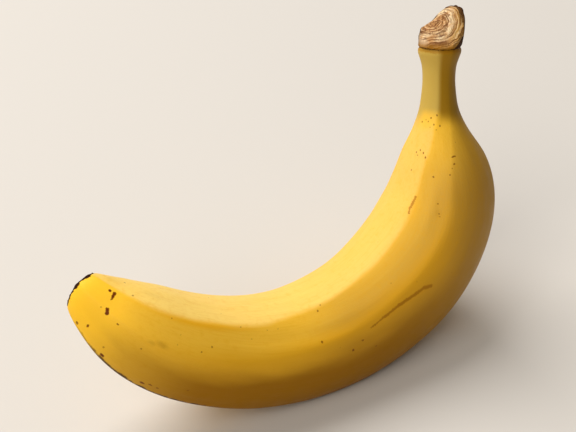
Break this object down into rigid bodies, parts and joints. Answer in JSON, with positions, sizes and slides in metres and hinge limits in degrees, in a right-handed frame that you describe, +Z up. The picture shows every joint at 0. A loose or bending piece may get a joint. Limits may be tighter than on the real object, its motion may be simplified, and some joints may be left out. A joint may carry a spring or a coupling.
{
  "type": "banana",
  "caption": "Ripe curved banana lying on its side, with a ridged yellow skin, a slim stem ending in a dry torn stub, and a small dark scar at the blossom end.",
  "frame": {"origin": "on the surface that the fruit lies on, under the middle of its bounding box", "axes": "+Z up, +X towards the end with the stem, and +Y away from the side that the picture shows, with the plane of the curve leaning back towards +Y and turned about Z"},
  "size_m": [0.1272, 0.0974, 0.0936],
  "materials": {
    "banana_skin": "satin, slightly waxy fruit skin: warm yellow, paler on the inside of the curve and more golden on the outside, with small brown freckles and scars, faint lengthwise streaks, a dry tan stub and a near-black scar at the blossom end"
  },
  "bodies": {
    "root": {"banana": "banana_skin"}
  },
  "joints": []
}
